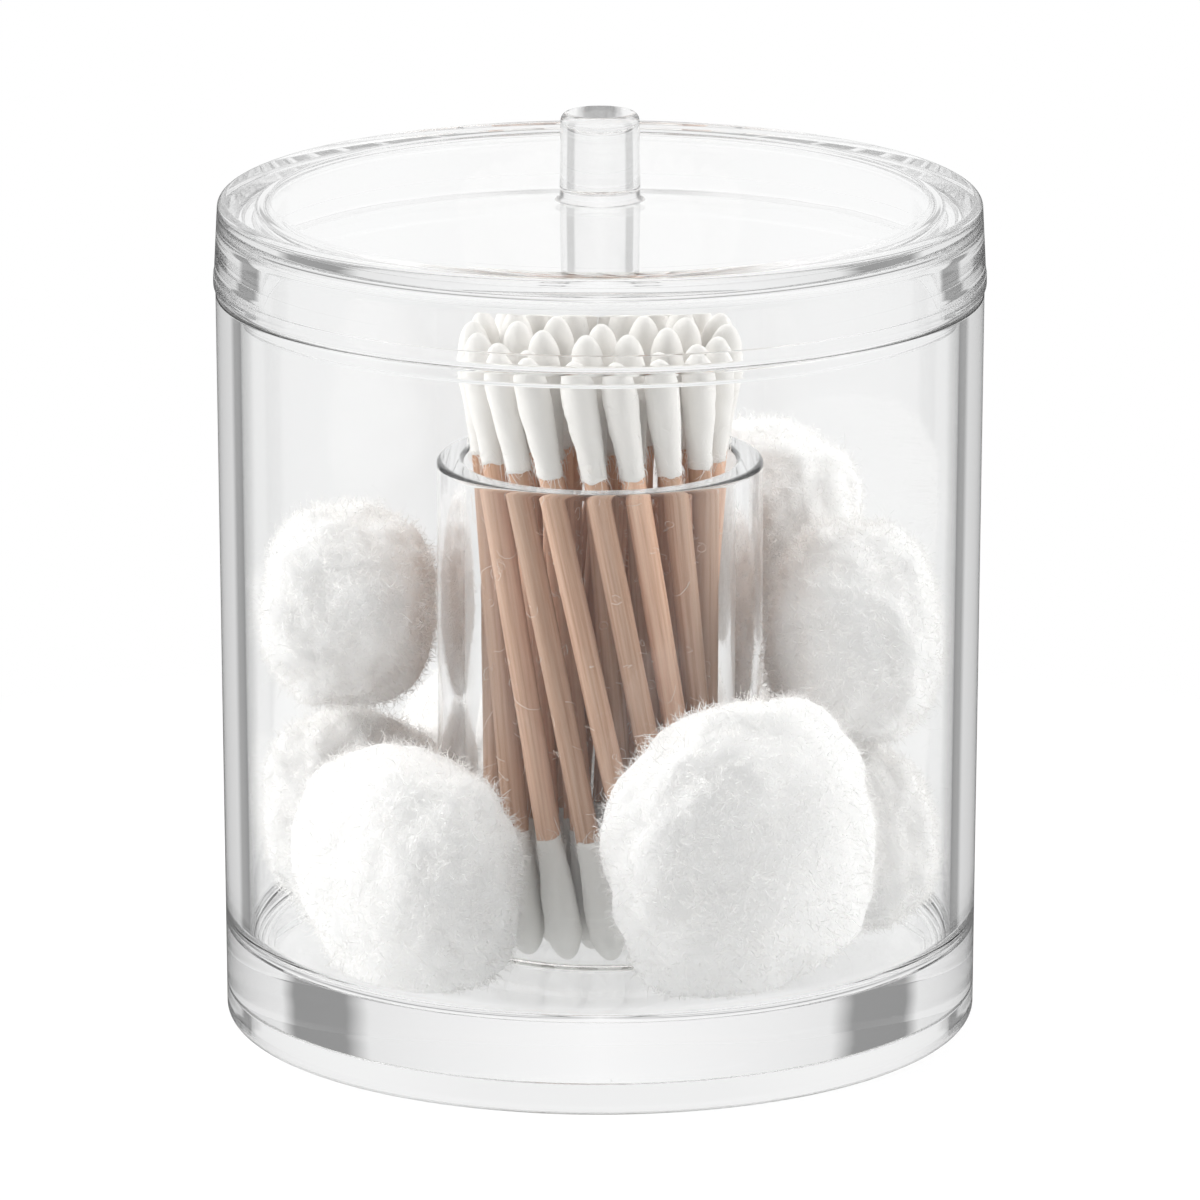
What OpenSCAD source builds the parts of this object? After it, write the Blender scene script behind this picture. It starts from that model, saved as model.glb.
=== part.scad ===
// Round clear canister with a lift-off lid. A clear cup in the middle holds cotton swabs,
// and loose cotton balls lie around the cup. Millimetres, +Z up, origin in the middle of the base.

/* [Jar] */
// Outer diameter at the rim
jar_d = 88.9; // [86:0.1:100]
// Height of the rim above the base
jar_h = 86.8; // [80:0.1:110]
// Thickness of the wall
jar_wall = 2.8; // [1.6:0.1:3.2]
// Height of the floor inside, above what the jar stands on
jar_floor = 10; // [5:0.1:13]
// How much smaller the outside is across the base than across the rim
jar_draft = 1.1; // [0:0.1:2]
// Rounding of the bottom edge
base_round = 1.2; // [0.4:0.1:3]
// Fillet between the floor and the wall, inside
floor_fillet = 3; // [0.5:0.1:4]
// Rounding of the rim edges
rim_round = 0.4; // [0.2:0.05:0.6]
// Height of the shallow hollow under the floor
foot_hollow = 3.4; // [0.5:0.1:3.8]
// Thickness of the ring it stands on
foot_wall = 2.8; // [2:0.1:6]

/* [Centre cup] */
// Outer diameter
cup_d = 38; // [34:0.1:40]
// Height above the jar floor
cup_h = 56.7; // [40:0.1:60]
// Thickness of the wall
cup_wall = 3.2; // [1.6:0.1:3.6]

/* [Lid] */
// How far the lid's top edge stands in from the line of the jar's rim
lid_inset = 0.25; // [0:0.05:0.6]
// How much the skirt flares out from the top edge to the lip
lid_flare = 0.7; // [0:0.1:1.5]
// How far the lip stands proud of the skirt
lip_proud = 0.15; // [0.05:0.05:0.4]
// Height of the lip
lip_h = 2; // [1:0.1:4]
// Height from the jar rim to the top face
lid_h = 10.55; // [8:0.05:20]
// Thickness of the top plate
lid_plate = 2.9; // [1.5:0.1:4]
// Rounding of the top and bottom outer edges
lid_round = 1; // [0.3:0.1:1.5]
// From the lid's top edge in to the fine step on its top face
step_inset = 6.1; // [3:0.1:12]
// Depth of the fine step on the top face
step_depth = 0.25; // [0.1:0.05:0.6]
// How far the locating ring reaches into the jar
ring_reach = 2.4; // [1:0.1:6]
// Thickness of the locating ring
ring_wall = 1.5; // [1:0.1:3]
// Fillet under the plate, inside
plate_fillet = 2; // [0.3:0.1:3]

/* [Knob] */
// Diameter at its top
knob_d = 9.1; // [6:0.1:14]
// Height above the plate
knob_h = 9.9; // [5:0.1:20]
// How much wider the knob is at its foot than at its top
knob_draft = 0.25; // [0:0.05:1]
// Rounding of its top edge
knob_round = 1; // [0.3:0.1:2]
// Fillet at its foot
knob_fillet = 0.6; // [0.2:0.1:1.5]

/* [Fits] */
// Gap between the locating ring and the jar wall
lid_gap = 0.3; // [0.1:0.05:0.6]
// Gap between the lid and the jar rim it sits on
seat_gap = 0.05; // [0.02:0.01:0.2]
// Gap between a cotton ball and the walls beside it
ball_gap = 0.35; // [0.3:0.05:0.8]
// Gap between swabs, and between a swab and the cup
swab_gap = 0.25; // [0.2:0.05:0.8]
// Gap between a stick and the cotton wound on it
wind_gap = 0.05; // [0.02:0.01:0.1]
// Gap under whatever rests on the floor
rest_gap = 0.05; // [0.02:0.01:0.2]

/* [Cotton swabs] */
// Length over both buds
swab_l = 72.8; // [60:0.1:76]
// Diameter of the wooden stick
stick_d = 2.8; // [2:0.1:2.9]
// Greatest diameter of a bud
bud_d = 4.2; // [4:0.1:5]
// Length of a bud
bud_l = 14.4; // [10:0.1:18]
// Diameter where a bud runs out on its stick
bud_end_d = 3.1; // [3:0.1:3.4]
// Cotton beyond the end of the stick
bud_cap = 2; // [1:0.1:3]
// Most swabs in the ring against the cup's wall
outer_swabs = 18; // [8:1:20]
// Most swabs in the second ring
inner_swabs = 12; // [3:1:12]
// Most swabs in the middle
core_swabs = 5; // [1:1:5]
// How far the outer swabs turn about the axis from bottom to top, in degrees
outer_twist_angle = 56; // [20:1:60]
// The same for the swabs inside them
inner_twist_angle = 34; // [0:1:40]
// How much further out the swabs stand at their tops
swab_spread = 1.3; // [0:0.1:1.4]

/* [Hidden] */
// Jar
jar_r = jar_d / 2;
base_r = jar_r - jar_draft / 2;
jar_in_r = jar_r - jar_wall;
floor_in_r = base_r + (jar_r - base_r) * jar_floor / jar_h - jar_wall;
foot_in_r = base_r - foot_wall;
// Centre cup
cup_r = cup_d / 2;
cup_in_r = cup_r - cup_wall;
cup_round = cup_wall * 0.2;
// Lid
lid_z = jar_h + seat_gap;
lid_top_z = lid_z + lid_h;
lid_top_r = jar_r - lid_inset;
skirt_r = lid_top_r + lid_flare / 2;
lip_r = skirt_r + lip_proud;
ring_r = jar_in_r - lid_gap;
hollow_r = ring_r - ring_wall;
step_r = lid_top_r - step_inset;
plate_z = lid_top_z - lid_plate;
knob_r = knob_d / 2;
knob_foot_r = knob_r + knob_draft / 2;
knob_z = lid_top_z - step_depth;
// Swab rings, from the cup's wall inwards: count, radius at the bottom, twist, first angle
swab_pitch = bud_d + swab_gap;
outer_r = cup_in_r - bud_d / 2 - swab_gap;
inner_r = outer_r - swab_pitch - swab_gap;
core_r = max(0, inner_r - swab_pitch - swab_gap);
outer_n = min(outer_swabs, ring_fit(outer_r));
inner_n = min(inner_swabs, ring_fit(inner_r));
core_n = min(core_swabs, ring_fit(core_r));
swab_n = outer_n + inner_n + core_n;
// Small turns that keep the bundle from looking ruled, in degrees
start_wobble_angle = 0.35;
twist_wobble_angle = 1;
first_angle = -36;
// Cotton balls: angle from the front, size and height of the centre above the floor.
// The two lengths are shares of the radius of the circle that the balls stand on.
ball_ring_r = (floor_in_r + cup_r) / 2;
ball_squeeze = (floor_in_r - cup_r) / 2 - ball_gap;
BALLS = [
    [-46, 0.49, 0.42],
    [33, 0.58, 0.57],
    [92, 0.36, 0.35],
    [152, 0.45, 0.45],
    [-155, 0.43, 0.42],
    [-101, 0.42, 0.41],
    [-97, 0.40, 1.26],
    [88, 0.46, 1.20],
    [139, 0.43, 1.41]
];
// Fullness of a squeezed ball: 2 is an ellipse, more is squarer
ball_fullness = 2.2;
ball_steps = 18;
bud_steps = 10;
// A cut reaches this far past the solid it cuts
past = 1;
$fn = 96;

function two_digits(n) = n < 10 ? str("0", n) : str(n);
function swab_name(kind, i) = str(kind, two_digits(i + 1));
function ball_name(i) = str("cotton_ball_", i + 1);

// How many swabs fit side by side on a circle
function ring_fit(r) = r > swab_pitch / 2 ? floor(180 / asin(swab_pitch / 2 / r)) : 1;
// The ring that swab i stands in: 0 against the cup, 1 inside it, 2 in the middle
function swab_ring(i) = i < outer_n ? 0 : i < outer_n + inner_n ? 1 : 2;
function swab_place(i) = i - [0, outer_n, outer_n + inner_n][swab_ring(i)];
function swab_count(i) = [outer_n, inner_n, core_n][swab_ring(i)];
function swab_foot_r(i) = [outer_r, inner_r, core_r][swab_ring(i)];
function swab_twist(i) = [outer_twist_angle, inner_twist_angle, inner_twist_angle][swab_ring(i)];
// A steady value between -1 and 1 that differs from swab to swab
function wobble(i, k) = sin(i * 137.5 + k * 211);
function foot_angle(i) =
    first_angle + 360 * swab_place(i) / swab_count(i) + start_wobble_angle * wobble(i, 1);
function head_angle(i) = foot_angle(i) - swab_twist(i) - twist_wobble_angle * wobble(i, 2);
// A point on a circle about the axis; the angle runs from the front (-Y) towards +X
function around(r, angle) = [r * sin(angle), -r * cos(angle)];
// The centres of the two bud ends: the lower on the floor, the upper a swab's length away
function foot(i) = concat(around(swab_foot_r(i), foot_angle(i)), [jar_floor + rest_gap + bud_d / 2]);
function head_xy(i) = around(swab_foot_r(i) + swab_spread, head_angle(i));
function lean(i) = norm(head_xy(i) - [foot(i).x, foot(i).y]);
function head(i) = concat(head_xy(i), [foot(i).z + sqrt(pow(swab_l - bud_d, 2) - pow(lean(i), 2))]);

// Half the outline of a bud, from its tip at 0: a round end, then a slim taper on to the stick
bud_belly = 0.3 * bud_l;
function bud_r(t) =
    t < bud_belly ? bud_d / 2 * sqrt(1 - pow(1 - t / bud_belly, 2))
    : bud_end_d / 2 + (bud_d - bud_end_d) / 2 * (1 + cos(180 * (t - bud_belly) / (bud_l - bud_belly))) / 2;
function bud_outline() = concat(
    [for (k = [0 : bud_steps]) let(t = bud_belly * (1 - cos(90 * k / bud_steps))) [bud_r(t), t]],
    [for (k = [1 : bud_steps]) let(t = bud_belly + (bud_l - bud_belly) * k / bud_steps) [bud_r(t), t]]
);

// Half the outline of a ball of the given size, squeezed to the given half thickness
function ball_outline(size, squeeze) = [
    for (k = [-ball_steps : ball_steps])
        let(a = 90 * k / ball_steps)
            [size * pow(cos(a), 2 / ball_fullness),
             squeeze * sign(a) * pow(abs(sin(a)), 2 / ball_fullness)]
];

// A quarter round that is cut off an outer corner at [r, z]; sx and sz point into the solid
module corner_cut(r, z, size, sx, sz) {
    translate([r, z])
        difference() {
            translate([sx < 0 ? -size : -past, sz < 0 ? -size : -past])
                square(size + past);
            translate([sx * size, sz * size])
                circle(size);
        }
}

// A fillet that fills an inner corner at [r, z]; sx and sz point into the hollow
module corner_fill(r, z, size, sx, sz) {
    translate([r, z])
        difference() {
            translate([sx < 0 ? -size : 0, sz < 0 ? -size : 0])
                square(size);
            translate([sx * size, sz * size])
                circle(size);
        }
}

// Half the section of the jar
module jar_section() {
    difference() {
        polygon([[0, 0], [base_r, 0], [jar_r, jar_h], [0, jar_h]]);
        difference() {
            polygon([
                [-past, jar_floor], [floor_in_r, jar_floor],
                [jar_in_r, jar_h], [jar_in_r, jar_h + past], [-past, jar_h + past]
            ]);
            corner_fill(floor_in_r, jar_floor, floor_fillet, -1, 1);
        }
        difference() {
            translate([-past, -past])
                square([foot_in_r + past, foot_hollow + past]);
            corner_fill(foot_in_r, foot_hollow, rim_round, -1, -1);
        }
        corner_cut(foot_in_r, 0, rim_round, 1, 1);
        corner_cut(base_r, 0, base_round, -1, 1);
        corner_cut(jar_r, jar_h, rim_round, -1, -1);
        corner_cut(jar_in_r, jar_h, rim_round, 1, -1);
    }
}

module jar() {
    color([0.93, 0.95, 0.96, 0.35])
        rotate_extrude()
            jar_section();
}

module centre_cup() {
    color([0.93, 0.95, 0.96, 0.35])
        translate([0, 0, jar_floor])
            rotate_extrude()
                difference() {
                    translate([cup_in_r, 0])
                        square([cup_wall, cup_h]);
                    corner_cut(cup_r, cup_h, cup_round, -1, -1);
                    corner_cut(cup_in_r, cup_h, cup_round, 1, -1);
                }
}

// Half the section of the plate, skirt and locating ring, without the knob
module lid_section() {
    difference() {
        union() {
            polygon([
                [0, lid_z], [skirt_r, lid_z], [skirt_r, lid_z + lip_h],
                [lid_top_r, lid_top_z], [0, lid_top_z]
            ]);
            translate([0, lid_z])
                square([lip_r, lip_h]);
            translate([0, lid_z - ring_reach])
                square([ring_r, ring_reach + past]);
        }
        difference() {
            translate([-past, lid_z - ring_reach - past])
                square([hollow_r + past, plate_z - lid_z + ring_reach + past]);
            corner_fill(hollow_r, plate_z, plate_fillet, -1, -1);
        }
        corner_cut(lid_top_r, lid_top_z, lid_round, -1, -1);
        corner_cut(lip_r, lid_z, lid_round * 0.8, -1, 1);
        corner_cut(ring_r, lid_z - ring_reach, rim_round, -1, 1);
        translate([-past, lid_top_z - step_depth])
            square([step_r + past, step_depth + past]);
    }
}

// Half the section of the knob, which stands on the plate
module knob_section() {
    difference() {
        polygon([
            [0, knob_z - past], [knob_foot_r, knob_z - past], [knob_foot_r, knob_z],
            [knob_r, lid_top_z + knob_h], [0, lid_top_z + knob_h]
        ]);
        corner_cut(knob_r, lid_top_z + knob_h, knob_round, -1, -1);
    }
    corner_fill(knob_foot_r, knob_z, knob_fillet, 1, 1);
}

module lid() {
    color([0.93, 0.95, 0.96, 0.35])
        rotate_extrude() {
            lid_section();
            knob_section();
        }
}

// Moves a shape that stands on the Z axis so that it runs from one point towards another
module from_to(a, b) {
    d = b - a;
    translate(a)
        rotate([0, atan2(norm([d.x, d.y]), d.z), atan2(d.y, d.x)])
            children();
}

module swab_stick(i) {
    color([0.86, 0.70, 0.52])
        from_to(foot(i), head(i))
            translate([0, 0, bud_cap - bud_d / 2])
                cylinder(d = stick_d, h = swab_l - 2 * bud_cap);
}

// One bud with its tip at the origin, wound round the end of the stick
module bud() {
    rotate_extrude()
        difference() {
            polygon(concat([[0, bud_l]], bud_outline()));
            translate([-past, bud_cap - wind_gap])
                square([past + stick_d / 2 + wind_gap, bud_l]);
        }
}

module swab_buds(i) {
    color([0.97, 0.97, 0.96])
        from_to(foot(i), head(i))
            translate([0, 0, -bud_d / 2]) {
                bud();
                translate([0, 0, swab_l])
                    mirror([0, 0, 1])
                        bud();
            }
}

// A loose ball, squeezed between the cup and the jar wall and flat where it lies on the floor
module cotton_ball(i) {
    size = BALLS[i][1] * ball_ring_r;
    squeeze = min(ball_squeeze, size);
    height = jar_floor + BALLS[i][2] * ball_ring_r;
    color([0.98, 0.98, 0.98])
        difference() {
            rotate([0, 0, BALLS[i][0]])
                translate([0, -ball_ring_r, height])
                    rotate([90, 0, 0])
                        rotate_extrude()
                            polygon(ball_outline(size, squeeze));
            cylinder(r = jar_r, h = jar_floor + rest_gap);
        }
}

jar();
centre_cup();
lid();
for (i = [0 : outer_n - 1]) {
    swab_stick(i);
    swab_buds(i);
}
for (i = [outer_n : swab_n - 1]) {
    swab_stick(i);  // inner_swab_sticks
    swab_buds(i);  // inner_swab_buds
}
for (i = [0 : len(BALLS) - 1])
    cotton_ball(i);
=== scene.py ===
"""Looks of a clear round canister that holds cotton swabs in a centre cup and cotton balls around it.

Lengths are in metres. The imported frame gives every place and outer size, and the sections of the
clear pieces repeat the few wall, fillet and rounding values of the part's source.
"""

import math

import bpy
import numpy as np
from mathutils import Matrix, Vector, noise


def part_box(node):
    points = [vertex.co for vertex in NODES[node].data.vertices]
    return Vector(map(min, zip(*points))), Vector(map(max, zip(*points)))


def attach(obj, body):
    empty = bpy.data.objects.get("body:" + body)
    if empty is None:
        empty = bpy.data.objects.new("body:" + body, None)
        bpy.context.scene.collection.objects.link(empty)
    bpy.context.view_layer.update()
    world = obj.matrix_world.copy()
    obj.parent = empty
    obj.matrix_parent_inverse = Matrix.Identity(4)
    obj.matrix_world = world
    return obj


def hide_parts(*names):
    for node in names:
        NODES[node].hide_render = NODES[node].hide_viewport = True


MM = 0.001
SEED = 7
tiny = 1e-6

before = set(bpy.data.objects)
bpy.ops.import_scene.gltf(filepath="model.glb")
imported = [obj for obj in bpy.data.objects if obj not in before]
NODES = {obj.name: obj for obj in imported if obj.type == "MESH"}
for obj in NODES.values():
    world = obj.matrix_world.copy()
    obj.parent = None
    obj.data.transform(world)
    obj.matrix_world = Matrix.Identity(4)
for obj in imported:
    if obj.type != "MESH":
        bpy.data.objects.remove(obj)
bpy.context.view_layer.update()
rng = np.random.default_rng(SEED)


# Meshes and materials in general


def new_mesh_object(name, verts, faces):
    """A smooth-shaded object from plain lists, linked to the scene."""
    mesh = bpy.data.meshes.new(name)
    mesh.from_pydata([tuple(v) for v in verts], [], [tuple(f) for f in faces])
    mesh.validate()
    mesh.update()
    mesh.polygons.foreach_set("use_smooth", [True] * len(mesh.polygons))
    obj = bpy.data.objects.new(name, mesh)
    bpy.context.scene.collection.objects.link(obj)
    return obj


def finish_piece(obj, body, material, node):
    """Gives a piece its body and its material, and hides the CAD node that it stands for."""
    obj.data.materials.append(material)
    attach(obj, body)
    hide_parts(node)


class Shader:
    """A small helper that adds nodes to a new material, or to a world, and links them by name."""

    def __init__(self, name, world=None):
        self.material = world or bpy.data.materials.new(name)
        self.material.use_nodes = True
        self.tree = self.material.node_tree
        self.tree.nodes.clear()
        self.output = self.add("ShaderNodeOutputWorld" if world else "ShaderNodeOutputMaterial")

    def add(self, kind, settings=None, **inputs):
        node = self.tree.nodes.new(kind)
        for key, value in (settings or {}).items():
            setattr(node, key, value)
        for key, value in inputs.items():
            socket = node.inputs[key.replace("_", " ")]
            if isinstance(value, bpy.types.NodeSocket):
                self.tree.links.new(value, socket)
            else:
                socket.default_value = value
        return node

    def link(self, out_socket, in_socket):
        self.tree.links.new(out_socket, in_socket)

    def math(self, operation, a, b=None):
        node = self.add("ShaderNodeMath", {"operation": operation})
        for socket, value in zip(node.inputs, (a, b)):
            if isinstance(value, bpy.types.NodeSocket):
                self.link(value, socket)
            elif value is not None:
                socket.default_value = value
        return node.outputs[0]

    def tinted(self, colour, by):
        """A colour multiplied by another colour or value."""
        node = self.add("ShaderNodeMix", {"data_type": "RGBA", "blend_type": "MULTIPLY"})
        node.inputs["Factor"].default_value = 1.0
        self.link(colour, node.inputs[6])
        self.link(by, node.inputs[7])
        return node.outputs[2]

    def ramp(self, factor, *stops):
        node = self.add("ShaderNodeValToRGB")
        self.link(factor, node.inputs["Fac"])
        elements = node.color_ramp.elements
        while len(elements) < len(stops):
            elements.new(0.5)
        for element, (place, colour) in zip(elements, stops):
            element.position = place
            element.color = (*colour, 1)
        return node.outputs["Color"]


# Shapes in general


def unit(vectors):
    return vectors / np.linalg.norm(vectors, axis=1, keepdims=True)


def ring_faces(rings, sides):
    """Faces between each ring of points and the next, where a ring of one point is a tip."""
    faces = []
    for low, high in zip(rings, rings[1:]):
        for k in range(sides):
            n = (k + 1) % sides
            if len(low) == 1:
                faces.append((low[0], high[n], high[k]))
            elif len(high) == 1:
                faces.append((low[k], low[n], high[0]))
            else:
                faces.append((low[k], low[n], high[n], high[k]))
    return faces


def joined(*parts):
    """Several (points, faces) pairs as one."""
    verts, faces, start = [], [], 0
    for points, some in parts:
        verts.append(np.asarray(points))
        faces += [tuple(i + start for i in f) for f in some]
        start += len(points)
    return np.concatenate(verts), faces


def flipped(points, faces, length):
    """The same shape standing on its head at the given height."""
    turned = points * np.array([1, -1, -1]) + np.array([0, 0, length])
    return turned, faces


# Clear acrylic pieces, turned from their half sections


def arc(centre, radius, start, end, steps=8):
    """Points of an arc in the (r, z) plane; angles in degrees, counted from +r towards +z."""
    angles = [math.radians(start + (end - start) * k / steps) for k in range(steps + 1)]
    return [(centre[0] + radius * math.cos(a), centre[1] + radius * math.sin(a)) for a in angles]


def with_support(points, margin=0.04 * MM, longest=0.6 * MM):
    """Adds a point close to each end of a long straight stretch, so that flat faces shade flat."""
    out = [points[0]]
    for a, b in zip(points, points[1:]):
        a, b = Vector(a), Vector(b)
        length = (b - a).length
        if length > longest:
            step = (b - a) * (margin / length)
            out += [tuple(a + step), tuple(b - step)]
        out.append(tuple(b))
    return out


def lathe(name, section, sides=256):
    """A solid turned about Z from a section that starts and ends on the axis, or from a closed one."""
    closed = section[0][0] > 0
    ring_points = with_support(section + [section[0]] if closed else section)
    if closed:
        ring_points = ring_points[:-1]
    verts, rings = [], []
    turn = [2 * math.pi * k / sides for k in range(sides)]
    for r, z in ring_points:
        if r < tiny:
            rings.append([len(verts)])
            verts.append((0, 0, z))
        else:
            rings.append(list(range(len(verts), len(verts) + sides)))
            verts += [(r * math.cos(a), r * math.sin(a), z) for a in turn]
    if closed:
        rings.append(rings[0])
    return new_mesh_object(name, verts, ring_faces(rings, sides))


def size_of(node):
    """Outer radius, lowest and highest point of a round CAD node that stands on the axis."""
    low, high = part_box(node)
    return max(high.x, high.y, -low.x, -low.y), low.z, high.z


jar_top_r, _, jar_rim_z = size_of("jar")
cup_r, cup_bottom_z, cup_rim_z = size_of("centre_cup")
lip_r, ring_bottom_z, knob_top_z = size_of("lid")

jar_wall = 2.8 * MM
jar_draft = 0.55 * MM
base_round = 1.2 * MM
floor_fillet = 3 * MM
rim_round = 0.4 * MM
foot_hollow = 3.4 * MM
foot_wall = 2.8 * MM
cup_wall = 3.2 * MM
cup_round = 0.2 * cup_wall
ring_reach = 2.4 * MM
ring_wall = 1.5 * MM
lid_gap = 0.3 * MM
lip_h = 2 * MM
lip_proud = 0.15 * MM
lid_flare = 0.35 * MM
lid_h = 10.55 * MM
lid_plate = 2.9 * MM
lid_round = 1 * MM
lip_round = 0.8 * MM
plate_fillet = 2 * MM
step_r = 38.1 * MM
step_depth = 0.25 * MM
knob_top_r = 4.55 * MM
knob_draft = 0.125 * MM
knob_round = 1 * MM
knob_fillet = 0.6 * MM
air_gap = 0.02 * MM
cup_foot_round = 0.25 * MM
fine = 0.1 * MM
hollow_sag, hollow_wave = -0.3 * MM, 0.05 * MM
floor_sag, floor_wave = 0.12 * MM, 0.03 * MM

floor_z = cup_bottom_z
jar_base_r = jar_top_r - jar_draft
jar_in_top_r = jar_top_r - jar_wall
jar_in_floor_r = jar_base_r + jar_draft * floor_z / jar_rim_z - jar_wall


def sunk(mesh, height, reach, depth, wave):
    """Sinks the flat disc at a height a little towards its middle, with faint waves, as thick mouldings do."""
    waves_per_m, own_place = 70, 900
    for v in mesh.vertices:
        r = math.hypot(v.co.x, v.co.y)
        if abs(v.co.z - height) < tiny and r < reach:
            inward = 1 - (r / reach) ** 2
            spot = Vector((v.co.x * waves_per_m, v.co.y * waves_per_m, height * own_place))
            v.co.z -= depth * inward - wave * noise.noise(spot) * min(1, 4 * inward)


def disc_rings(outer_r, height, count=26):
    """Points from the axis out to a radius, for a disc that gets a shape of its own."""
    return [(outer_r * k / count, height) for k in range(count)]


def make_jar():
    foot_in_r = jar_base_r - foot_wall
    hollow_edge_r = foot_in_r - rim_round
    floor_edge_r = jar_in_floor_r - floor_fillet
    section = disc_rings(hollow_edge_r, foot_hollow)
    section += arc((hollow_edge_r, foot_hollow - rim_round), rim_round, 90, 0, 5)
    section += arc((foot_in_r + rim_round, rim_round), rim_round, 180, 270, 5)
    section += arc((jar_base_r - base_round, base_round), base_round, -90, 0)
    section += arc((jar_top_r - rim_round, jar_rim_z - rim_round), rim_round, 0, 90, 5)
    section += arc((jar_in_top_r + rim_round, jar_rim_z - rim_round), rim_round, 90, 180, 5)
    section += arc((floor_edge_r, floor_z + floor_fillet), floor_fillet, 0, -90, 12)
    section += disc_rings(floor_edge_r, floor_z)[::-1]
    jar = lathe("clear_jar", section)
    sunk(jar.data, foot_hollow, hollow_edge_r, hollow_sag, hollow_wave)
    sunk(jar.data, floor_z, floor_edge_r, floor_sag, floor_wave)
    return jar


def make_cup():
    inner_r = cup_r - cup_wall
    edge = cup_foot_round
    low = cup_bottom_z + air_gap
    section = arc((cup_r - edge, low + edge), edge, -90, 0, 4)
    section += arc((cup_r - cup_round, cup_rim_z - cup_round), cup_round, 0, 90, 10)
    section += arc((inner_r + cup_round, cup_rim_z - cup_round), cup_round, 90, 180, 10)
    section += arc((inner_r + edge, low + edge), edge, 180, 270, 4)
    return lathe("clear_centre_cup", section)


def make_lid():
    seat_z = ring_bottom_z + ring_reach
    top_z = seat_z + lid_h
    plate_z = top_z - lid_plate
    disc_z = top_z - step_depth
    ring_r = jar_in_top_r - lid_gap
    hollow_r = ring_r - ring_wall
    skirt_r = lip_r - lip_proud
    top_r = skirt_r - lid_flare
    knob_foot_r = knob_top_r + knob_draft
    section = [(0, plate_z)]
    section += arc((hollow_r - plate_fillet, plate_z - plate_fillet), plate_fillet, 90, 0, 10)
    section += arc((hollow_r + rim_round, ring_bottom_z + rim_round), rim_round, 180, 270, 5)
    section += arc((ring_r - rim_round, ring_bottom_z + rim_round), rim_round, -90, 0, 5)
    section += [(ring_r, seat_z)]
    section += arc((lip_r - lip_round, seat_z + lip_round), lip_round, -90, 0)
    section += arc((lip_r - fine, seat_z + lip_h - fine), fine, 0, 90, 4)
    section += arc((top_r - lid_round, top_z - lid_round), lid_round, 0, 90, 10)
    section += arc((step_r + fine, top_z - fine), fine, 90, 180, 4)
    section += arc((step_r - fine, disc_z + fine), fine, 0, -90, 4)
    section += arc((knob_foot_r + knob_fillet, disc_z + knob_fillet), knob_fillet, 270, 180, 8)
    section += arc((knob_top_r - knob_round, knob_top_z - knob_round), knob_round, 0, 90, 8)
    section += [(0, knob_top_z)]
    return lathe("clear_lid", section)


def clear_acrylic():
    """Polished clear acrylic: slightly wavy as moulded, and open to the light that falls on what is inside."""
    s = Shader("clear_acrylic")
    place = s.add("ShaderNodeTexCoord").outputs["Object"]
    stretch = s.add("ShaderNodeMapping", Vector=place, Scale=(60, 60, 14)).outputs["Vector"]
    waves = s.add("ShaderNodeTexNoise", Vector=stretch, Scale=1.0, Detail=1.0, Roughness=0.4)
    bump = s.add("ShaderNodeBump", Height=waves.outputs["Fac"], Strength=0.012, Distance=0.001)
    glass = s.add(
        "ShaderNodeBsdfPrincipled", Base_Color=(0.996, 0.998, 0.998, 1), Roughness=0.0, IOR=1.49,
        Transmission_Weight=1.0, Normal=bump.outputs["Normal"],
    )
    through = s.add("ShaderNodeBsdfTransparent", Color=(0.965, 0.97, 0.972, 1))
    path = s.add("ShaderNodeLightPath")
    both = s.add("ShaderNodeMixShader")
    lit = s.math("GREATER_THAN", path.outputs["Diffuse Depth"], 0.5)
    s.link(s.math("MAXIMUM", path.outputs["Is Shadow Ray"], lit), both.inputs[0])
    s.link(glass.outputs["BSDF"], both.inputs[1])
    s.link(through.outputs["BSDF"], both.inputs[2])
    s.link(both.outputs["Shader"], s.output.inputs["Surface"])
    return s.material


acrylic = clear_acrylic()
finish_piece(make_jar(), "jar", acrylic, "jar")
finish_piece(make_cup(), "jar", acrylic, "centre_cup")
finish_piece(make_lid(), "lid", acrylic, "lid")


# Cotton fibres


def fibres(starts, headings, lengths, width, curl, steps=4, limit=None):
    """Fine curly ribbons, one from each start along its heading; returns points and faces.

    Curl is how far each ribbon turns at every step. Limit, where given, moves points back where they may be.
    """
    count = len(starts)
    wobble, tip_share = 0.12, 0.5
    across = unit(np.cross(headings, rng.normal(size=(count, 3))))
    turn_axis = rng.normal(size=(count, 3)) * curl[:, None]
    middle, heading = [starts], headings
    for _ in range(steps):
        heading = heading + np.cross(turn_axis, heading) + rng.normal(size=(count, 3)) * wobble
        heading = unit(heading)
        point = middle[-1] + heading * (lengths / steps)[:, None]
        middle.append(limit(point) if limit else point)
    verts = np.zeros((count, steps + 1, 2, 3))
    for k, point in enumerate(middle):
        half = across * width / 2 * (1 - (1 - tip_share) * k / steps)
        verts[:, k, 0] = point - half
        verts[:, k, 1] = point + half
    quads = np.array([(2 * k, 2 * k + 1, 2 * k + 3, 2 * k + 2) for k in range(steps)])
    faces = np.arange(count)[:, None, None] * (2 * steps + 2) + quads
    return verts.reshape(-1, 3), faces.reshape(-1, 4).tolist()


def fuzzy_object(name, body, fuzz, fibre_material):
    """An object of a body and its loose fibres, which take the second material."""
    points, faces = joined(body, fuzz)
    obj = new_mesh_object(name, points, faces)
    obj["fibres_from"] = len(body[1])
    obj["fibre_material"] = fibre_material.name
    return obj


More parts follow.
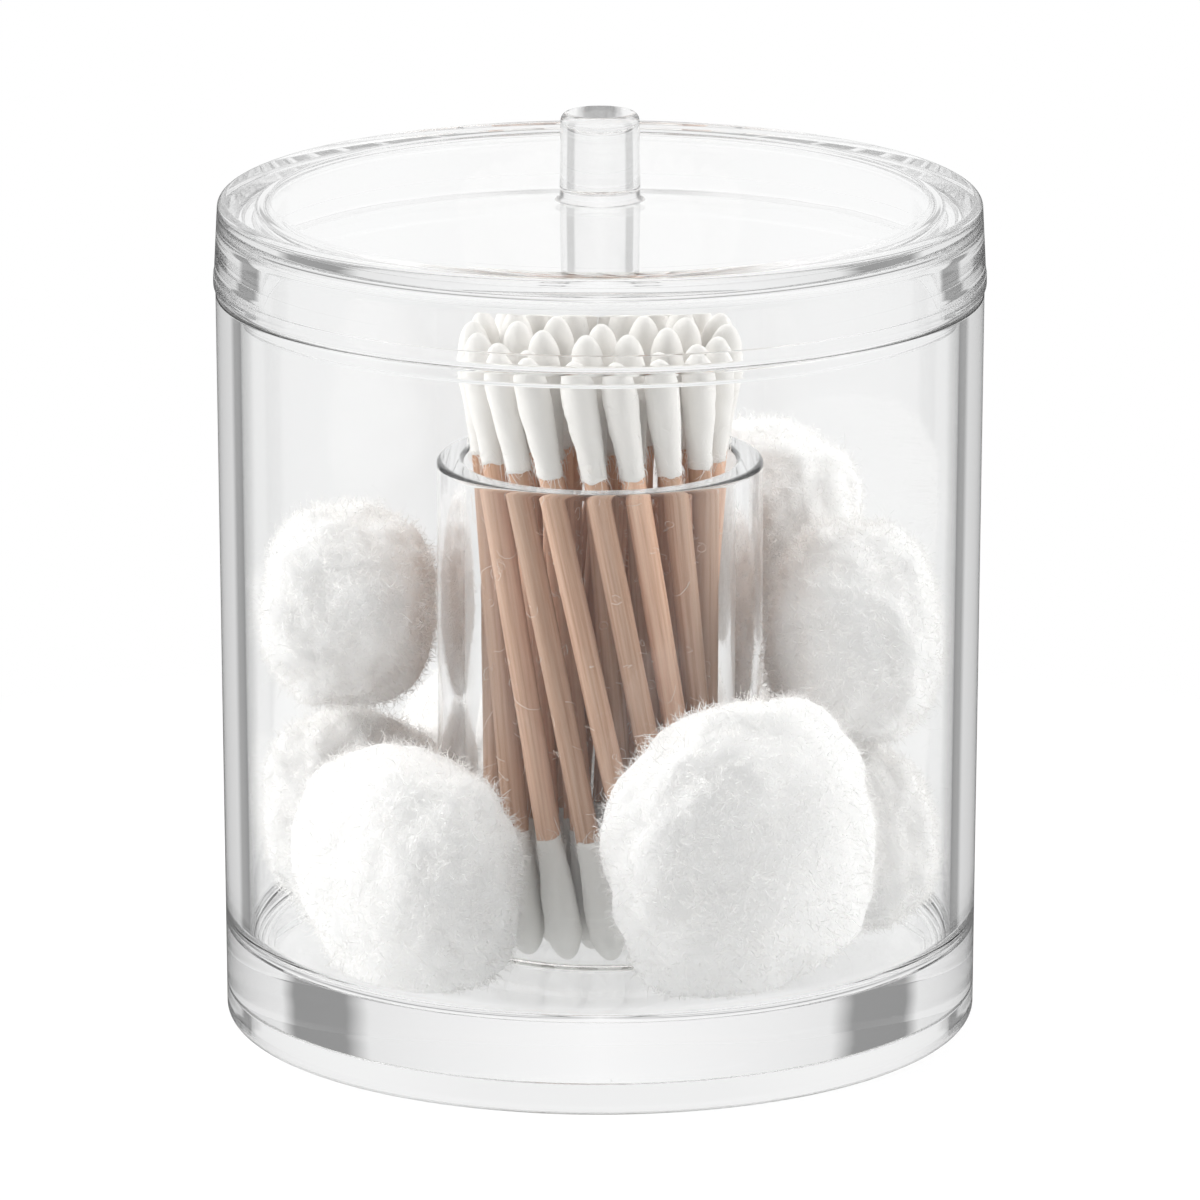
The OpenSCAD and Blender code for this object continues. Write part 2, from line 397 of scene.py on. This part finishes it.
def add_fibre_material(obj):
    """Gives the faces of the loose fibres their own material, after the body's."""
    obj.data.materials.append(bpy.data.materials[obj["fibre_material"]])
    index = np.zeros(len(obj.data.polygons), np.int32)
    index[obj["fibres_from"]:] = 1
    obj.data.polygons.foreach_set("material_index", index)


def loose_fibre(name, colour):
    """A single cotton fibre: matte, and bright against the light too."""
    s = Shader(name)
    place = s.add("ShaderNodeTexCoord").outputs["Object"]
    uneven = s.add("ShaderNodeTexNoise", Vector=place, Scale=600.0, Detail=1.0)
    tint = s.ramp(uneven.outputs["Fac"], (0.3, tuple(0.93 * c for c in colour)), (0.7, colour))
    matte = s.add("ShaderNodeBsdfPrincipled", Base_Color=tint, Roughness=1.0, Specular_IOR_Level=0.0)
    glow = s.add("ShaderNodeBsdfTranslucent", Color=tint)
    both = s.add("ShaderNodeMixShader")
    both.inputs[0].default_value = 0.45
    s.link(matte.outputs["BSDF"], both.inputs[1])
    s.link(glow.outputs["BSDF"], both.inputs[2])
    unshaded = s.add("ShaderNodeMixShader")
    s.link(s.add("ShaderNodeLightPath").outputs["Is Shadow Ray"], unshaded.inputs[0])
    s.link(both.outputs["Shader"], unshaded.inputs[1])
    s.link(s.add("ShaderNodeBsdfTransparent").outputs["BSDF"], unshaded.inputs[2])
    s.link(unshaded.outputs["Shader"], s.output.inputs["Surface"])
    return s.material


def cotton(name, colour, fibre_scale, depth):
    """Soft matte cotton: thin curly threads over cloudy lumps, with a faint sheen."""
    s = Shader(name)
    place = s.add("ShaderNodeTexCoord").outputs["Object"]
    height = None
    for scale, shift in ((fibre_scale, 0.0), (fibre_scale * 1.9, 7.3)):
        moved = s.add("ShaderNodeVectorMath", {"operation": "ADD"})
        s.link(place, moved.inputs[0])
        moved.inputs[1].default_value = (shift, shift, shift)
        curls = s.add(
            "ShaderNodeTexNoise", Vector=moved.outputs["Vector"],
            Scale=scale, Detail=2.0, Roughness=0.5, Distortion=1.6,
        )
        off = s.math("ABSOLUTE", s.math("SUBTRACT", curls.outputs["Fac"], 0.5))
        thread = s.add("ShaderNodeMapRange", {"interpolation_type": "SMOOTHSTEP"}, Value=off, From_Max=0.05,
                       To_Min=1.0, To_Max=0.0).outputs["Result"]
        height = s.math("MAXIMUM", height, thread) if height else thread
    cloud = s.add("ShaderNodeTexNoise", Vector=place, Scale=fibre_scale * 0.25, Detail=3.0, Roughness=0.6)
    whole = s.math("ADD", s.math("MULTIPLY", height, 0.35), cloud.outputs["Fac"])
    tint = s.ramp(whole, (0.35, tuple(0.965 * c for c in colour)), (0.95, colour))
    bump = s.add("ShaderNodeBump", Height=whole, Strength=0.55, Distance=depth)
    soft = s.add(
        "ShaderNodeBsdfPrincipled", Base_Color=tint, Roughness=1.0, Normal=bump.outputs["Normal"],
        Sheen_Weight=0.2, Sheen_Roughness=0.5, Specular_IOR_Level=0.0,
    )
    s.link(soft.outputs["BSDF"], s.output.inputs["Surface"])
    return s.material


# Cotton swabs


def separate_solids(node):
    """The points of each separate solid that a CAD node holds."""
    mesh = NODES[node].data
    points = np.array([v.co for v in mesh.vertices])
    edges = np.array([e.vertices for e in mesh.edges])
    keys, spot = np.unique(np.round(points, 6), axis=0, return_inverse=True)
    spot = spot.reshape(-1)
    group = np.arange(len(keys))
    while True:
        least = np.minimum(group[spot[edges[:, 0]]], group[spot[edges[:, 1]]])
        merged = group.copy()
        np.minimum.at(merged, spot[edges[:, 0]], least)
        np.minimum.at(merged, spot[edges[:, 1]], least)
        merged = merged[merged]
        if (merged == group).all():
            break
        group = merged
    return [keys[group == g] for g in np.unique(group)]


def axis_of(points):
    """The lower and upper end of the straight stick that the points lie on, and its radius."""
    centre = (points.min(0) + points.max(0)) / 2
    direction = np.linalg.svd(points - centre, full_matrices=False)[2][0]
    direction *= np.sign(direction[2])
    along = (points - centre) @ direction
    radius = np.linalg.norm(points - centre - along[:, None] * direction, axis=1).max()
    return Vector(centre + direction * along.min()), Vector(centre + direction * along.max()), radius


def frame_along(start, end):
    """The matrix that takes +Z to the line from start to end, with its origin at start."""
    turn = (end - start).normalized().to_track_quat("Z", "Y").to_matrix().to_4x4()
    return Matrix.Translation(start) @ turn


def wood():
    """Pale birch: straight fine grain and longer streaks along the stick, and a tone of its own for each."""
    s = Shader("birch_wood")
    place = s.add("ShaderNodeTexCoord").outputs["Object"]
    own = s.add("ShaderNodeObjectInfo").outputs["Random"]
    shift = s.add("ShaderNodeCombineXYZ", X=own, Y=own, Z=own)
    grain_place = s.add("ShaderNodeMapping", Vector=place, Scale=(2600, 2600, 60)).outputs["Vector"]
    moved = s.add("ShaderNodeVectorMath", {"operation": "MULTIPLY_ADD"})
    s.link(shift.outputs["Vector"], moved.inputs[0])
    moved.inputs[1].default_value = (37, 53, 71)
    s.link(grain_place, moved.inputs[2])
    grain = s.add("ShaderNodeTexNoise", Vector=moved.outputs["Vector"], Scale=1.0, Detail=4.0, Roughness=0.6)
    streak_place = s.add("ShaderNodeMapping", Vector=place, Scale=(900, 900, 18)).outputs["Vector"]
    streaks = s.add("ShaderNodeTexNoise", Vector=streak_place, Scale=1.0, Detail=2.0)
    colour = s.ramp(
        grain.outputs["Fac"],
        (0.25, (0.60, 0.34, 0.22)), (0.5, (0.79, 0.515, 0.375)), (0.75, (0.87, 0.63, 0.48)),
    )
    tone = s.ramp(streaks.outputs["Fac"], (0.3, (0.84, 0.80, 0.76)), (0.65, (1.0, 1.0, 1.0)))
    each = s.add("ShaderNodeHueSaturation", Hue=0.5, Saturation=1.0, Fac=1.0)
    value = s.add("ShaderNodeMapRange", Value=own, To_Min=0.74, To_Max=1.12)
    s.link(value.outputs["Result"], each.inputs["Value"])
    s.link(s.tinted(colour, tone), each.inputs["Color"])
    bump = s.add("ShaderNodeBump", Height=grain.outputs["Fac"], Strength=0.5, Distance=0.00008)
    body = s.add(
        "ShaderNodeBsdfPrincipled", Base_Color=each.outputs["Color"], Roughness=0.62,
        Normal=bump.outputs["Normal"], Specular_IOR_Level=0.3,
    )
    s.link(body.outputs["BSDF"], s.output.inputs["Surface"])
    return s.material


def stick_mesh(length, radius, shift):
    """A turned birch stick with soft ends and a slightly uneven girth, along +Z from the origin."""
    sides, rings, edge = 14, 24, 0.25 * MM
    outline = [(0, 0), (radius - edge, 0)]
    outline += [(radius, edge + (length - 2 * edge) * k / rings) for k in range(rings + 1)]
    outline += [(radius - edge, length), (0, length)]
    verts, rows = [], []
    for r, z in outline:
        if r == 0:
            rows.append([len(verts)])
            verts.append((0, 0, z))
            continue
        rows.append(list(range(len(verts), len(verts) + sides)))
        for k in range(sides):
            a = 2 * math.pi * k / sides
            spot = Vector((math.cos(a) * 0.9, math.sin(a) * 0.9, z * 90 + shift))
            own_r = r * (1 + 0.035 * noise.noise(spot) - 0.02)
            verts.append((own_r * math.cos(a), own_r * math.sin(a), z))
    return verts, ring_faces(rows, sides)


bud_len = 14.4 * MM
bud_r = 2.08 * MM
bud_end_r = 1.5 * MM
bud_cap = 2 * MM
bud_bore_r = 1.43 * MM
belly = 0.3
skin_fibre_width = 0.045 * MM
stray_width = 0.1 * MM
fibres_per_bud = 60
fibres_per_stick = 24


def bud_radius(t):
    """Radius of a bud at the share t of its length from its tip."""
    if t < belly:
        return bud_r * math.sqrt(max(0.0, 1 - (1 - t / belly) ** 2))
    return bud_end_r + (bud_r - bud_end_r) * (1 + math.cos(math.pi * (t - belly) / (1 - belly))) / 2


def bud_mesh(shift):
    """A wound cotton bud with its tip at the origin and its open end towards +Z, lumpy and lightly twisted."""
    sides, tip_rows, other_rows = 22, 9, 18
    tip, ragged_from = 0.2, 0.8
    verts, rows = [(0, 0, 0)], [[0]]
    shares = [belly * (1 - math.cos(math.pi / 2 * k / tip_rows)) for k in range(1, tip_rows + 1)]
    shares += [belly + (1 - belly) * k / other_rows for k in range(1, other_rows + 1)]
    for t in shares:
        rows.append(list(range(len(verts), len(verts) + sides)))
        for k in range(sides):
            a = 2 * math.pi * k / sides
            wind = a + t * 5
            lump = noise.noise(Vector((math.cos(wind) * 1.1, math.sin(wind) * 1.1, t * 5 + shift)))
            ridge = noise.noise(Vector((math.cos(wind) * 4.5, math.sin(wind) * 4.5, t * 9 + shift)))
            r = bud_radius(t) * (0.965 + 0.07 * lump + 0.035 * ridge)
            ragged = max(0.0, t - ragged_from) / (1 - ragged_from)
            if t > tip:
                r = max(r, bud_bore_r) + (bud_bore_r + 0.01 * MM - r) * ragged ** 4
            uneven = noise.noise(Vector((math.cos(a) * 1.4, math.sin(a) * 1.4, shift)))
            verts.append((r * math.cos(a), r * math.sin(a), t * bud_len + 0.5 * MM * uneven * ragged))
    rows.append([len(verts)])
    verts.append((0, 0, bud_len - 0.15 * MM))
    return np.array(verts), ring_faces(rows, sides)


def around_z(points, least, most):
    """Points moved to a distance from the Z axis between two radii."""
    r = np.linalg.norm(points[:, :2], axis=1)
    points = points.copy()
    points[:, :2] *= (np.clip(r, least, most) / r)[:, None]
    return points


def bud_fuzz(count):
    """Short loose fibres on a bud, and as many again where it runs out on its stick."""
    collar_from, collar_most_r = 0.82, 1.75 * MM
    t = rng.uniform(0.02, 1.0, count) ** 0.75
    a = rng.uniform(0, 2 * math.pi, count)
    r = np.array([bud_radius(x) for x in t]) * 0.97
    out = np.stack([np.cos(a), np.sin(a), np.where(t < belly, (t - belly) / belly, 0.0)], 1)
    starts = np.stack([r * np.cos(a), r * np.sin(a), t * bud_len], 1)
    round_ = np.stack([-np.sin(a), np.cos(a), rng.normal(size=count) * 0.9], 1)
    lift = rng.uniform(0.1, 0.6, count)[:, None]
    headings = unit(out * lift + round_ * rng.choice([-1, 1], count)[:, None] * 0.9)
    lengths = rng.uniform(0.7, 2.2, count) * MM
    skin = fibres(starts, headings, lengths, skin_fibre_width, rng.uniform(0.1, 0.6, count), steps=3)

    z = rng.uniform(collar_from, 1.0, count) * bud_len
    a = rng.uniform(0, 2 * math.pi, count)
    r = bud_bore_r - 0.01 * MM
    starts = np.stack([r * np.cos(a), r * np.sin(a), z], 1)
    headings = unit(np.stack([rng.normal(size=count) * 0.25, rng.normal(size=count) * 0.25, np.ones(count)], 1))
    lengths = rng.uniform(0.8, 3.6, count) * MM
    collar = fibres(
        starts, headings, lengths, stray_width, rng.uniform(0.1, 0.8, count),
        steps=3, limit=lambda points: around_z(points, bud_bore_r, collar_most_r),
    )
    return joined(skin, collar)


def stick_lint(length, radius, count):
    """Stray curly fibres that cling to a stick."""
    z = rng.uniform(0.15, 0.85, count) * length
    a = rng.uniform(0, 2 * math.pi, count)
    starts = np.stack([radius * np.cos(a), radius * np.sin(a), z], 1)
    out = np.stack([np.cos(a), np.sin(a), np.zeros(count)], 1)
    round_ = np.stack([-np.sin(a), np.cos(a), rng.normal(size=count)], 1)
    headings = unit(out * 0.25 + round_ * rng.choice([-1, 1], count)[:, None])
    lengths = rng.uniform(1.5, 5.5, count) * MM
    return fibres(
        starts, headings, lengths, stray_width, rng.uniform(0.3, 1.1, count),
        steps=7, limit=lambda points: around_z(points, radius * 1.02, radius * 1.35),
    )


birch = wood()
bud_cotton = cotton("wound_cotton", (0.94, 0.915, 0.88), 1500, 0.00014)
lint = loose_fibre("lint", (0.97, 0.90, 0.84))
cotton_fibre = loose_fibre("cotton_fibre", (0.955, 0.943, 0.93))


def make_swab(number, stick_node, buds_node, points):
    """A wooden stick with its stray fibres, and the two buds wound on it."""
    start, end, radius = axis_of(points)
    length = (end - start).length
    shift = number * 3.7
    name = f"{number:02d}"
    stray = stick_lint(length, radius, fibres_per_stick)
    stick = fuzzy_object("stick_" + name, stick_mesh(length, radius * 0.99, shift), stray, lint)
    stick.matrix_world = frame_along(start, end)
    finish_piece(stick, "jar", birch, stick_node)
    add_fibre_material(stick)

    whole = length + 2 * bud_cap
    body = joined(bud_mesh(shift), flipped(*bud_mesh(shift + 50), whole))
    fuzz = joined(bud_fuzz(fibres_per_bud), flipped(*bud_fuzz(fibres_per_bud), whole))
    buds = fuzzy_object("buds_" + name, body, fuzz, cotton_fibre)
    tip = start - (end - start).normalized() * bud_cap
    buds.matrix_world = frame_along(tip, end)
    finish_piece(buds, "jar", bud_cotton, buds_node)
    add_fibre_material(buds)


swab_number = 0
for stick_node in sorted(n for n in NODES if "swab_stick" in n):
    buds_node = stick_node.replace("stick_", "buds_").replace("swab_sticks", "swab_buds")
    for points in separate_solids(stick_node):
        swab_number += 1
        make_swab(swab_number, stick_node, buds_node, points)


# Cotton balls


def ball_place(node):
    """Angle from the front, ring radius, top, and the half sizes of a CAD ball outwards and across."""
    points = np.array([v.co for v in NODES[node].data.vertices])
    centre = (points.min(0) + points.max(0)) / 2
    angle = math.atan2(centre[0], -centre[1])
    out = np.array([math.sin(angle), -math.cos(angle)])
    side = np.array([math.cos(angle), math.sin(angle)])
    radial = points[:, :2] @ out
    across = points[:, :2] @ side
    half_r = (radial.max() - radial.min()) / 2
    half_t = (across.max() - across.min()) / 2
    return angle, (radial.max() + radial.min()) / 2, points[:, 2].max(), half_r, half_t


wall_gap = 0.12 * MM


def inside_ring(points):
    """Keeps points between the cup and the jar wall and above the floor."""
    r = np.linalg.norm(points[:, :2], axis=1)
    rise = (points[:, 2] - floor_z) / (jar_rim_z - floor_z)
    wall_r = jar_in_floor_r + (jar_in_top_r - jar_in_floor_r) * rise
    corner = np.clip(floor_z + floor_fillet - points[:, 2], 0, floor_fillet)
    wall_r = wall_r - floor_fillet + np.sqrt(np.maximum(floor_fillet**2 - corner**2, 0))
    limited = np.clip(r, cup_r + wall_gap, wall_r - wall_gap)
    points = points.copy()
    points[:, :2] *= (limited / r)[:, None]
    points[:, 2] = np.maximum(points[:, 2], floor_z + wall_gap)
    return points


def sphere_grid(cuts):
    """A unit sphere from a cube whose faces are cut evenly; returns points and quads."""
    corner = np.linspace(-1, 1, cuts + 1)
    a, b = np.meshgrid(np.tan(corner * math.pi / 4), np.tan(corner * math.pi / 4), indexing="ij")
    one = np.ones_like(a)
    sides = [(one, a, b), (-one, b, a), (b, one, a), (a, -one, b), (a, b, one), (b, a, -one)]
    points = unit(np.concatenate([np.stack(s, -1).reshape(-1, 3) for s in sides]))
    grid = np.arange((cuts + 1) ** 2).reshape(cuts + 1, cuts + 1)
    quad = np.stack([grid[:-1, :-1], grid[1:, :-1], grid[1:, 1:], grid[:-1, 1:]], -1).reshape(-1, 4)
    faces = np.concatenate([quad + i * (cuts + 1) ** 2 for i in range(6)])
    keys, index = np.unique(np.round(points, 6), axis=0, return_inverse=True)
    first = np.zeros(len(keys), int)
    first[index] = np.arange(len(points))
    return points[first], index.reshape(-1)[faces]


unit_points, unit_faces = sphere_grid(34)


def noise_at(points, scale, shift):
    return np.array([noise.noise(Vector(p * scale) + shift) for p in points])


def ball_points(index, node):
    """The unit sphere's points as a lumpy ball of cotton wool, squeezed into its place in the ring."""
    fullness, bending, straightness = 0.9, 0.55, 0.45
    angle, ring_r, top, half_r, half_t = ball_place(node)
    shift = Vector((index * 11.3, index * 5.1, index * 7.7))
    soft = noise_at(unit_points, 1.25, shift)
    folds = noise_at(unit_points, 3.4, shift * 1.7)
    tufts = noise_at(unit_points, 8.5, shift * 2.3)
    wisps = noise_at(unit_points, 21, shift * 3.1)
    swell = 0.965 + 0.12 * soft + 0.055 * folds + 0.014 * tufts + 0.006 * wisps
    p = np.sign(unit_points) * np.abs(unit_points) ** fullness
    shape = np.stack([p[:, 0] * half_t, p[:, 1] * half_r, p[:, 2] * half_t], 1) * swell[:, None]
    centre_z = top - half_t
    across = shape[:, 0]
    radial = ring_r - shape[:, 1]
    bend = across / ring_r * bending
    flat_x = radial * np.sin(bend) + across * straightness * np.cos(bend)
    flat_y = -radial * np.cos(bend) + across * straightness * np.sin(bend)
    x = flat_x * math.cos(angle) - flat_y * math.sin(angle)
    y = flat_x * math.sin(angle) + flat_y * math.cos(angle)
    return inside_ring(np.stack([x, y, centre_z + shape[:, 2]], 1))


def outward(points, quads):
    """The quads of a closed mesh with their normals pointing out, and those normals, as long as the area."""
    corner = points[quads]
    normal = np.cross(corner[:, 2] - corner[:, 0], corner[:, 3] - corner[:, 1])
    if ((corner.mean(1) - points.mean(0)) * normal).sum() < 0:
        return quads[:, ::-1], -normal
    return quads, normal


def surface_samples(points, quads, count):
    """Random places spread evenly over a closed mesh of quads, with the outward normals there."""
    corner = points[quads]
    normal = outward(points, quads)[1]
    area = np.linalg.norm(normal, axis=1)
    pick = rng.choice(len(quads), count, p=area / area.sum())
    u, v = rng.uniform(size=(2, count, 1))
    c = corner[pick]
    spot = (c[:, 0] * (1 - u) + c[:, 1] * u) * (1 - v) + (c[:, 3] * (1 - u) + c[:, 2] * u) * v
    return spot, unit(normal[pick])


def mat_fibres(points, quads, count, stand, length, curl, steps, width):
    """Curly fibres over a ball: stand is how steeply they rise, from 0 for flat."""
    spot, normal = surface_samples(points, quads, count)
    sideways = unit(np.cross(normal, rng.normal(size=(count, 3))))
    headings = unit(normal * rng.uniform(*stand, (count, 1)) + sideways)
    starts = spot - normal * rng.uniform(-0.15, 0.05, (count, 1)) * MM
    return fibres(starts, headings, rng.uniform(*length, count) * MM, width, rng.uniform(*curl, count),
                  steps=steps, limit=inside_ring)


def ball_object(index, node):
    """A ball with three kinds of fibres: a flat felt, a short raised nap and a few long wisps."""
    placed = ball_points(index, node)
    quads = outward(placed, unit_faces)[0]
    flat = mat_fibres(placed, quads, 700, (0.02, 0.25), (1.5, 3.5), (0.1, 0.7), 4, 0.06 * MM)
    raised = mat_fibres(placed, quads, 6000, (0.4, 2.4), (0.7, 1.9), (0.2, 0.9), 3, 0.1 * MM)
    wisps = mat_fibres(placed, quads, 900, (0.8, 3.0), (1.8, 4.0), (0.4, 1.4), 5, 0.085 * MM)
    fuzz = joined(flat, raised, wisps)
    return fuzzy_object("cotton_wool_" + node[-1], (placed, quads.tolist()), fuzz, cotton_fibre)


wool = cotton("cotton_wool", (0.945, 0.932, 0.92), 700, 0.0003)
for index, node in enumerate(sorted(n for n in NODES if n.startswith("cotton_ball_"))):
    ball = ball_object(index, node)
    finish_piece(ball, "jar", wool, node)
    add_fibre_material(ball)


# Stage, light and camera


def edge_paths(s):
    """1 for rays that came out of the clear pieces by way of an inside reflection or a single solid edge.

    These rays show what stands beside a white background in a photo studio, which draws the edges of
    clear things. Rays that went straight through a wall aren't among them.
    """
    path = s.add("ShaderNodeLightPath")
    inside = s.math("GREATER_THAN", path.outputs["Transmission Depth"], 0.5)
    reflected = s.math("GREATER_THAN", path.outputs["Glossy Depth"], 0.5)
    one_solid = s.math("LESS_THAN", path.outputs["Transmission Depth"], 2.5)
    few_walls = s.math("LESS_THAN", path.outputs["Transmission Depth"], 4.5)
    least_share = 0.1
    share = s.math("ADD", s.math("MULTIPLY", few_walls, 1 - least_share), least_share)
    edge = s.math("MULTIPLY", inside, s.math("MAXIMUM", reflected, one_solid))
    return s.math("MULTIPLY", edge, share), path


def seen_paths(s, path):
    """1 for rays that the camera sends out, straight or by way of gloss and glass."""
    return s.math("LESS_THAN", path.outputs["Diffuse Depth"], 0.5)


def stage_floor():
    """A white floor that keeps a soft shadow round the object and is bright further out and through walls."""
    size = 3.0
    drop = 0.2 * MM
    shadow_reach = (0.08, 0.16)
    near_share, wall_loss = 0.8, 0.07
    floor = new_mesh_object(
        "floor",
        [(-size, -size, -drop), (size, -size, -drop), (size, size, -drop), (-size, size, -drop)],
        [(0, 1, 2, 3)],
    )
    s = Shader("pale_floor")
    path = s.add("ShaderNodeLightPath")
    place = s.add("ShaderNodeVectorMath", {"operation": "LENGTH"})
    s.link(s.add("ShaderNodeTexCoord").outputs["Object"], place.inputs[0])
    away = s.add("ShaderNodeMapRange", Value=place.outputs["Value"],
                 From_Min=shadow_reach[0], From_Max=shadow_reach[1], To_Min=near_share, To_Max=1.0)
    through = s.math("GREATER_THAN", path.outputs["Transmission Depth"], 0.5)
    share = s.math("MULTIPLY", seen_paths(s, path), s.math("MAXIMUM", away.outputs["Result"], through))
    matte = s.add("ShaderNodeBsdfDiffuse", Color=(0.92, 0.92, 0.92, 1))
    level = s.math("SUBTRACT", 1.0, s.math("MULTIPLY", through, wall_loss))
    bright = s.add("ShaderNodeEmission", Color=(1, 1, 1, 1), Strength=level)
    both = s.add("ShaderNodeMixShader")
    s.link(share, both.inputs[0])
    s.link(matte.outputs[0], both.inputs[1])
    s.link(bright.outputs[0], both.inputs[2])
    beyond = s.add("ShaderNodeBsdfTransparent", Color=(1, 1, 1, 1))
    whole = s.add("ShaderNodeMixShader")
    mirrored = s.math("GREATER_THAN", path.outputs["Glossy Depth"], 0.5)
    s.link(s.math("MULTIPLY", mirrored, seen_paths(s, path)), whole.inputs[0])
    s.link(both.outputs[0], whole.inputs[1])
    s.link(beyond.outputs[0], whole.inputs[2])
    s.link(whole.outputs[0], s.output.inputs["Surface"])
    floor.data.materials.append(s.material)


def area_light(name, place, target, size, power):
    """A square lamp that lights the object and isn't itself seen."""
    data = bpy.data.lights.new(name, "AREA")
    data.shape = "SQUARE"
    data.size = size
    data.energy = power
    light = bpy.data.objects.new(name, data)
    bpy.context.scene.collection.objects.link(light)
    light.location = place
    light.rotation_euler = (Vector(target) - Vector(place)).to_track_quat("-Z", "Y").to_euler()
    light.visible_camera = False
    light.visible_transmission = False
    light.visible_glossy = False


def studio():
    """A white studio: light all round, weaker from the front, and darker strips beside each view."""
    dim, light_in_front, light_from_behind = 0.12, 0.24, 0.8
    world = bpy.data.worlds.new("studio")
    bpy.context.scene.world = world
    s = Shader("studio", world)
    edges, path = edge_paths(s)
    way = s.add("ShaderNodeSeparateXYZ")
    s.link(s.add("ShaderNodeTexCoord").outputs["Generated"], way.inputs[0])
    turn = s.math("ARCTAN2", way.outputs["X"], way.outputs["Y"])
    fold = s.math("DIVIDE", s.math("PINGPONG", turn, math.pi / 2), math.pi / 2)
    white, pale, dark, side = (1.0,) * 3, (0.86,) * 3, (0.32,) * 3, (0.9,) * 3
    strips = s.ramp(fold, (0.0, white), (0.30, pale), (0.345, dark), (0.475, dark), (0.52, side))
    mirrored = s.math("MULTIPLY", s.math("LESS_THAN", path.outputs["Transmission Depth"], 0.5),
                      s.math("GREATER_THAN", path.outputs["Glossy Depth"], 0.5))
    plain = s.add("ShaderNodeMix", {"data_type": "RGBA"})
    s.link(mirrored, plain.inputs["Factor"])
    plain.inputs[6].default_value = (1, 1, 1, 1)
    upward = s.add("ShaderNodeMapRange", {"interpolation_type": "SMOOTHSTEP"}, Value=way.outputs["Z"],
                   From_Min=-0.15, From_Max=0.15, To_Min=dim, To_Max=1.0)
    s.link(upward.outputs["Result"], plain.inputs[7])
    front = s.add("ShaderNodeMapRange", {"interpolation_type": "SMOOTHSTEP"}, Value=way.outputs["Y"],
                  From_Min=-0.85, From_Max=-0.15, To_Min=dim, To_Max=1.0)
    strips = s.tinted(strips, front.outputs["Result"])
    view = s.add("ShaderNodeMix", {"data_type": "RGBA"})
    s.link(edges, view.inputs["Factor"])
    s.link(plain.outputs[2], view.inputs[6])
    s.link(strips, view.inputs[7])
    shown = s.add("ShaderNodeBackground", Strength=1.0)
    s.link(view.outputs[2], shown.inputs["Color"])
    back = s.math("MULTIPLY", s.math("ADD", way.outputs["Y"], 1.0), 0.5)
    level = s.math("ADD", s.math("MULTIPLY", back, light_from_behind), light_in_front)
    light = s.add("ShaderNodeBackground", Color=(1, 1, 1, 1))
    s.link(level, light.inputs["Strength"])
    both = s.add("ShaderNodeMixShader")
    s.link(seen_paths(s, path), both.inputs[0])
    s.link(light.outputs[0], both.inputs[1])
    s.link(shown.outputs[0], both.inputs[2])
    s.link(both.outputs[0], s.output.inputs["Surface"])
    area_light("left", (-0.7, 0.0, 0.35), (0, 0, 0.05), 0.5, 4.6)
    area_light("right", (0.7, 0.05, 0.35), (0, 0, 0.05), 0.5, 3.6)
    area_light("top", (0, 0.1, 0.9), (0, 0, 0.05), 0.6, 3.0)


def camera():
    """The photograph's camera: a long lens 1.1 m away, looking down by 14.6 degrees."""
    place = Vector((0, -1.06173, 0.32543))
    aim = Vector((0, 0, 0.04925))
    data = bpy.data.cameras.new("camera")
    data.sensor_width = 36
    data.lens = 282.1
    data.clip_start = 0.05
    obj = bpy.data.objects.new("camera", data)
    bpy.context.scene.collection.objects.link(obj)
    obj.location = place
    obj.rotation_euler = (aim - place).to_track_quat("-Z", "Y").to_euler()
    bpy.context.scene.camera = obj


stage_floor()
studio()
camera()
scene = bpy.context.scene
scene.view_settings.view_transform = "Standard"
clear_wall_bounces = 40
scene.cycles.max_bounces = clear_wall_bounces
scene.cycles.transmission_bounces = clear_wall_bounces
scene.cycles.glossy_bounces = clear_wall_bounces
scene.cycles.transparent_max_bounces = 24
